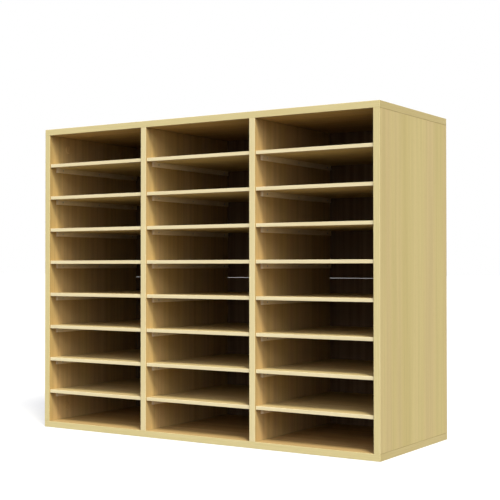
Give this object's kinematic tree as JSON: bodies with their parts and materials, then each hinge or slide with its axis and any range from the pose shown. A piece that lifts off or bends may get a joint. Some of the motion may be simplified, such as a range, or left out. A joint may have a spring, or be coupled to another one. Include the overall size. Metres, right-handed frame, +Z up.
{
  "type": "literature organizer",
  "caption": "Wide open-fronted literature organizer: a wood-tone board case divided into columns of shallow compartments by thin loose shelves, for sorting papers and booklets.",
  "frame": {"origin": "on the surface that the case stands on, under the middle of its box", "axes": "+X to the right as seen from the open front, +Y from the front to the back, +Z up"},
  "size_m": [0.743, 0.28, 0.595],
  "materials": {
    "laminated_board": "satin maple-tone laminate over chipboard",
    "edge_band": "satin pale wood-tone edge band",
    "shelf_board": "satin maple-tone laminate with a pale front band",
    "strip_plastic": "matte beige",
    "hardboard": "matte hardboard, wood-tone on the inside",
    "nail_steel": "plain bright steel",
    "bolt_steel": "zinc-plated steel",
    "cam_zinc": "bare zinc casting",
    "cover_plastic": "satin wood-tone plastic",
    "dowel_wood": "bare beech"
  },
  "bodies": {
    "carcass": {"top_panel": "laminated_board", "bottom_panel": "laminated_board", "left_side_panel": "laminated_board", "left_divider": "laminated_board", "right_divider": "laminated_board", "right_side_panel": "laminated_board", "top_edge_band": "edge_band", "bottom_edge_band": "edge_band", "left_side_edge_band": "edge_band", "left_divider_edge_band": "edge_band", "right_divider_edge_band": "edge_band", "right_side_edge_band": "edge_band", "end_edge_bands": "edge_band", "left_side_support_strips": "strip_plastic", "left_divider_left_support_strips": "strip_plastic", "left_divider_right_support_strips": "strip_plastic", "right_divider_left_support_strips": "strip_plastic", "right_divider_right_support_strips": "strip_plastic", "right_side_support_strips": "strip_plastic", "upper_back_sheet": "hardboard", "lower_back_sheet": "hardboard", "support_brads": "nail_steel", "back_nails": "nail_steel", "cam_bolts": "bolt_steel", "cam_locks": "cam_zinc", "cam_covers": "cover_plastic", "dowels": "dowel_wood"},
    "left_shelf_1": {"left_shelf_1": "shelf_board"},
    "left_shelf_2": {"left_shelf_2": "shelf_board"},
    "left_shelf_3": {"left_shelf_3": "shelf_board"},
    "left_shelf_4": {"left_shelf_4": "shelf_board"},
    "left_shelf_5": {"left_shelf_5": "shelf_board"},
    "left_shelf_6": {"left_shelf_6": "shelf_board"},
    "left_shelf_7": {"left_shelf_7": "shelf_board"},
    "left_shelf_8": {"left_shelf_8": "shelf_board"},
    "middle_shelf_1": {"middle_shelf_1": "shelf_board"},
    "middle_shelf_2": {"middle_shelf_2": "shelf_board"},
    "middle_shelf_3": {"middle_shelf_3": "shelf_board"},
    "middle_shelf_4": {"middle_shelf_4": "shelf_board"},
    "middle_shelf_5": {"middle_shelf_5": "shelf_board"},
    "middle_shelf_6": {"middle_shelf_6": "shelf_board"},
    "middle_shelf_7": {"middle_shelf_7": "shelf_board"},
    "middle_shelf_8": {"middle_shelf_8": "shelf_board"},
    "right_shelf_1": {"right_shelf_1": "shelf_board"},
    "right_shelf_2": {"right_shelf_2": "shelf_board"},
    "right_shelf_3": {"right_shelf_3": "shelf_board"},
    "right_shelf_4": {"right_shelf_4": "shelf_board"},
    "right_shelf_5": {"right_shelf_5": "shelf_board"},
    "right_shelf_6": {"right_shelf_6": "shelf_board"},
    "right_shelf_7": {"right_shelf_7": "shelf_board"},
    "right_shelf_8": {"right_shelf_8": "shelf_board"}
  },
  "joints": [
    {"name": "left_shelf_1_slide", "type": "slide", "parent": "carcass", "child": "left_shelf_1", "axis": [0, -1, 0], "range_m": [0, 0.28]},
    {"name": "left_shelf_2_slide", "type": "slide", "parent": "carcass", "child": "left_shelf_2", "axis": [0, -1, 0], "range_m": [0, 0.28]},
    {"name": "left_shelf_3_slide", "type": "slide", "parent": "carcass", "child": "left_shelf_3", "axis": [0, -1, 0], "range_m": [0, 0.28]},
    {"name": "left_shelf_4_slide", "type": "slide", "parent": "carcass", "child": "left_shelf_4", "axis": [0, -1, 0], "range_m": [0, 0.28]},
    {"name": "left_shelf_5_slide", "type": "slide", "parent": "carcass", "child": "left_shelf_5", "axis": [0, -1, 0], "range_m": [0, 0.28]},
    {"name": "left_shelf_6_slide", "type": "slide", "parent": "carcass", "child": "left_shelf_6", "axis": [0, -1, 0], "range_m": [0, 0.28]},
    {"name": "left_shelf_7_slide", "type": "slide", "parent": "carcass", "child": "left_shelf_7", "axis": [0, -1, 0], "range_m": [0, 0.28]},
    {"name": "left_shelf_8_slide", "type": "slide", "parent": "carcass", "child": "left_shelf_8", "axis": [0, -1, 0], "range_m": [0, 0.28]},
    {"name": "middle_shelf_1_slide", "type": "slide", "parent": "carcass", "child": "middle_shelf_1", "axis": [0, -1, 0], "range_m": [0, 0.28]},
    {"name": "middle_shelf_2_slide", "type": "slide", "parent": "carcass", "child": "middle_shelf_2", "axis": [0, -1, 0], "range_m": [0, 0.28]},
    {"name": "middle_shelf_3_slide", "type": "slide", "parent": "carcass", "child": "middle_shelf_3", "axis": [0, -1, 0], "range_m": [0, 0.28]},
    {"name": "middle_shelf_4_slide", "type": "slide", "parent": "carcass", "child": "middle_shelf_4", "axis": [0, -1, 0], "range_m": [0, 0.28]},
    {"name": "middle_shelf_5_slide", "type": "slide", "parent": "carcass", "child": "middle_shelf_5", "axis": [0, -1, 0], "range_m": [0, 0.28]},
    {"name": "middle_shelf_6_slide", "type": "slide", "parent": "carcass", "child": "middle_shelf_6", "axis": [0, -1, 0], "range_m": [0, 0.28]},
    {"name": "middle_shelf_7_slide", "type": "slide", "parent": "carcass", "child": "middle_shelf_7", "axis": [0, -1, 0], "range_m": [0, 0.28]},
    {"name": "middle_shelf_8_slide", "type": "slide", "parent": "carcass", "child": "middle_shelf_8", "axis": [0, -1, 0], "range_m": [0, 0.28]},
    {"name": "right_shelf_1_slide", "type": "slide", "parent": "carcass", "child": "right_shelf_1", "axis": [0, -1, 0], "range_m": [0, 0.28]},
    {"name": "right_shelf_2_slide", "type": "slide", "parent": "carcass", "child": "right_shelf_2", "axis": [0, -1, 0], "range_m": [0, 0.28]},
    {"name": "right_shelf_3_slide", "type": "slide", "parent": "carcass", "child": "right_shelf_3", "axis": [0, -1, 0], "range_m": [0, 0.28]},
    {"name": "right_shelf_4_slide", "type": "slide", "parent": "carcass", "child": "right_shelf_4", "axis": [0, -1, 0], "range_m": [0, 0.28]},
    {"name": "right_shelf_5_slide", "type": "slide", "parent": "carcass", "child": "right_shelf_5", "axis": [0, -1, 0], "range_m": [0, 0.28]},
    {"name": "right_shelf_6_slide", "type": "slide", "parent": "carcass", "child": "right_shelf_6", "axis": [0, -1, 0], "range_m": [0, 0.28]},
    {"name": "right_shelf_7_slide", "type": "slide", "parent": "carcass", "child": "right_shelf_7", "axis": [0, -1, 0], "range_m": [0, 0.28]},
    {"name": "right_shelf_8_slide", "type": "slide", "parent": "carcass", "child": "right_shelf_8", "axis": [0, -1, 0], "range_m": [0, 0.28]}
  ]
}
